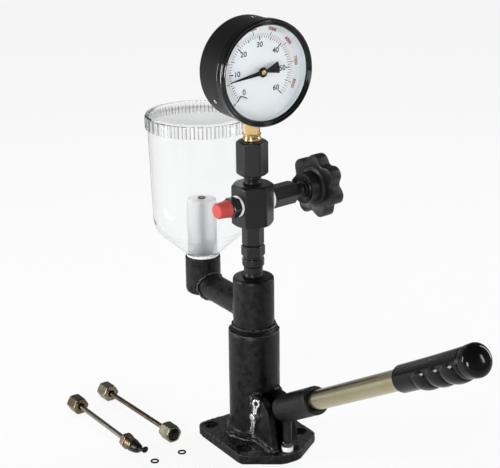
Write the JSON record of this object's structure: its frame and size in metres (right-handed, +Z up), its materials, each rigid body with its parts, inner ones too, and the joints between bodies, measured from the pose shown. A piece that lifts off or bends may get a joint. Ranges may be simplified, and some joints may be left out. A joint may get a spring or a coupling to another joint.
{
  "type": "diesel injector tester",
  "caption": "Hand-lever pump on a cast stand with a clear fuel tank, a pressure gauge and a shut-off valve, for testing diesel injectors.",
  "frame": {"origin": "centre of the base's underside, on the pump column's axis", "axes": "+Z up along the column, -Y the way the dial faces and the lever points, +Y towards the tank, +X towards the hand wheel"},
  "size_m": [0.2391, 0.5346, 0.453],
  "materials": {
    "cast_black": "gloss black enamel on a rough casting",
    "black_steel": "blackened steel, satin",
    "black_enamel": "gloss black enamel",
    "black_plastic": "moulded black plastic",
    "black_rubber": "black rubber",
    "needle_black": "matt black",
    "bright_steel": "bright steel",
    "spring_steel": "spring steel",
    "brown_steel": "browned steel",
    "zinc": "yellow zinc plating",
    "zinc_brown": "brownish zinc plating",
    "brass": "turned brass",
    "white_nylon": "white nylon",
    "red_plastic": "red plastic",
    "clear_plastic": "clear moulded plastic",
    "frosted_plastic": "frosted white plastic",
    "grey_plastic": "grey plastic",
    "glass": "clear window",
    "dial_white": "white printed dial"
  },
  "bodies": {
    "root": {"pump_body": "cast_black", "inlet_arm": "cast_black", "elbow_cup": "cast_black", "delivery_holder": "black_steel", "riser_nut": "black_steel", "valve_block": "black_steel", "gauge_neck": "black_steel", "gauge_nut": "black_steel", "valve_bonnet": "black_steel", "outlet_fitting": "black_steel", "gauge_case": "black_enamel", "gauge_ring": "black_enamel", "o_ring_1": "black_rubber", "o_ring_2": "black_rubber", "clevis_pin": "bright_steel", "split_pin": "bright_steel", "pump_barrel": "bright_steel", "spring_seat": "bright_steel", "case_screw_1": "bright_steel", "case_screw_2": "bright_steel", "case_screw_3": "bright_steel", "plunger_spring": "spring_steel", "delivery_spring": "spring_steel", "filter_screw": "brown_steel", "pipe_2": "zinc", "pipe_1": "zinc_brown", "pipe_2_adapter": "zinc_brown", "gauge_socket": "brass", "gauge_movement": "brass", "bourdon_tube": "brass", "stop_buffer": "white_nylon", "tank_gasket": "white_nylon", "bonnet_washer": "white_nylon", "outlet_washer": "white_nylon", "fuel_tank": "clear_plastic", "fuel_filter": "frosted_plastic", "filter_standpipe": "grey_plastic", "gauge_window": "glass", "gauge_dial": "dial_white"},
    "lever": {"lever_socket": "cast_black", "lever_tube": "zinc", "lever_grip": "black_plastic"},
    "plunger": {"plunger": "bright_steel"},
    "delivery_valve": {"delivery_valve": "bright_steel"},
    "hand_wheel": {"valve_spindle": "bright_steel", "hand_wheel": "black_plastic"},
    "needle": {"gauge_needle": "needle_black", "needle_hub": "brass"},
    "tank_lid": {"tank_lid": "clear_plastic"},
    "outlet_cap": {"outlet_cap": "red_plastic"},
    "pipe_1_nut_a": {"pipe_1_nut_a": "zinc"},
    "pipe_1_nut_b": {"pipe_1_nut_b": "zinc"},
    "pipe_1_plug": {"pipe_1_plug": "black_rubber"},
    "pipe_2_nut": {"pipe_2_nut": "zinc_brown"},
    "pipe_2_plug": {"pipe_2_plug": "black_rubber"},
    "pipe_2_cap": {"pipe_2_cap": "black_rubber"}
  },
  "joints": [
    {"name": "lever_pivot", "type": "hinge", "parent": "root", "child": "lever", "pos_m": [0, -0.03, 0.041], "axis": [-1, 0, 0], "range_deg": [0, 26]},
    {"name": "plunger_slide", "type": "slide", "parent": "root", "child": "plunger", "axis": [0, 0, 1], "range_m": [-0.013, 0], "deforming": ["plunger_spring"]},
    {"name": "delivery_lift", "type": "slide", "parent": "root", "child": "delivery_valve", "axis": [0, 0, 1], "range_m": [0, 0.0015], "stiffness_N_per_m": 300, "springref_m": -0.003, "deforming": ["delivery_spring"]},
    {"name": "wheel_turn", "type": "hinge", "parent": "root", "child": "hand_wheel", "pos_m": [0, 0, 0.2628], "axis": [0.9914, 0.1305, 0], "range_deg": [0, 720]},
    {"name": "needle_turn", "type": "hinge", "parent": "root", "child": "needle", "pos_m": [0, 0, 0.3999], "axis": [0, 1, 0], "range_deg": [-36, 234], "stiffness_Nm_per_rad": 0.005},
    {"name": "lid_lift", "type": "slide", "parent": "root", "child": "tank_lid", "axis": [0, 0, 1], "range_m": [0, 0.04]},
    {"name": "outlet_cap_pull", "type": "slide", "parent": "root", "child": "outlet_cap", "axis": [-0.9914, -0.1305, 0], "range_m": [0, 0.022]},
    {"name": "pipe_1_nut_a_turn", "type": "hinge", "parent": "root", "child": "pipe_1_nut_a", "pos_m": [-0.0867, 0.1731, 0.0085], "axis": [0.0642, -0.9979, 0], "continuous": true},
    {"name": "pipe_1_nut_b_turn", "type": "hinge", "parent": "root", "child": "pipe_1_nut_b", "pos_m": [-0.0785, 0.0456, 0.0085], "axis": [0.0642, -0.9979, 0], "continuous": true},
    {"name": "pipe_1_plug_pull", "type": "slide", "parent": "pipe_1_nut_b", "child": "pipe_1_plug", "axis": [0.0642, -0.9979, 0], "range_m": [0, 0.012]},
    {"name": "pipe_2_nut_turn", "type": "hinge", "parent": "root", "child": "pipe_2_nut", "pos_m": [-0.1297, 0.1621, 0.0085], "axis": [0.033, -0.9995, 0], "continuous": true},
    {"name": "pipe_2_plug_pull", "type": "slide", "parent": "pipe_2_nut", "child": "pipe_2_plug", "axis": [-0.033, 0.9995, 0], "range_m": [0, 0.012]},
    {"name": "pipe_2_cap_pull", "type": "slide", "parent": "root", "child": "pipe_2_cap", "axis": [0.033, -0.9995, 0], "range_m": [0, 0.02]}
  ],
  "couplings": [
    {"joint": "plunger_slide", "follows": "lever_pivot", "m_per_rad": -0.0275}
  ]
}
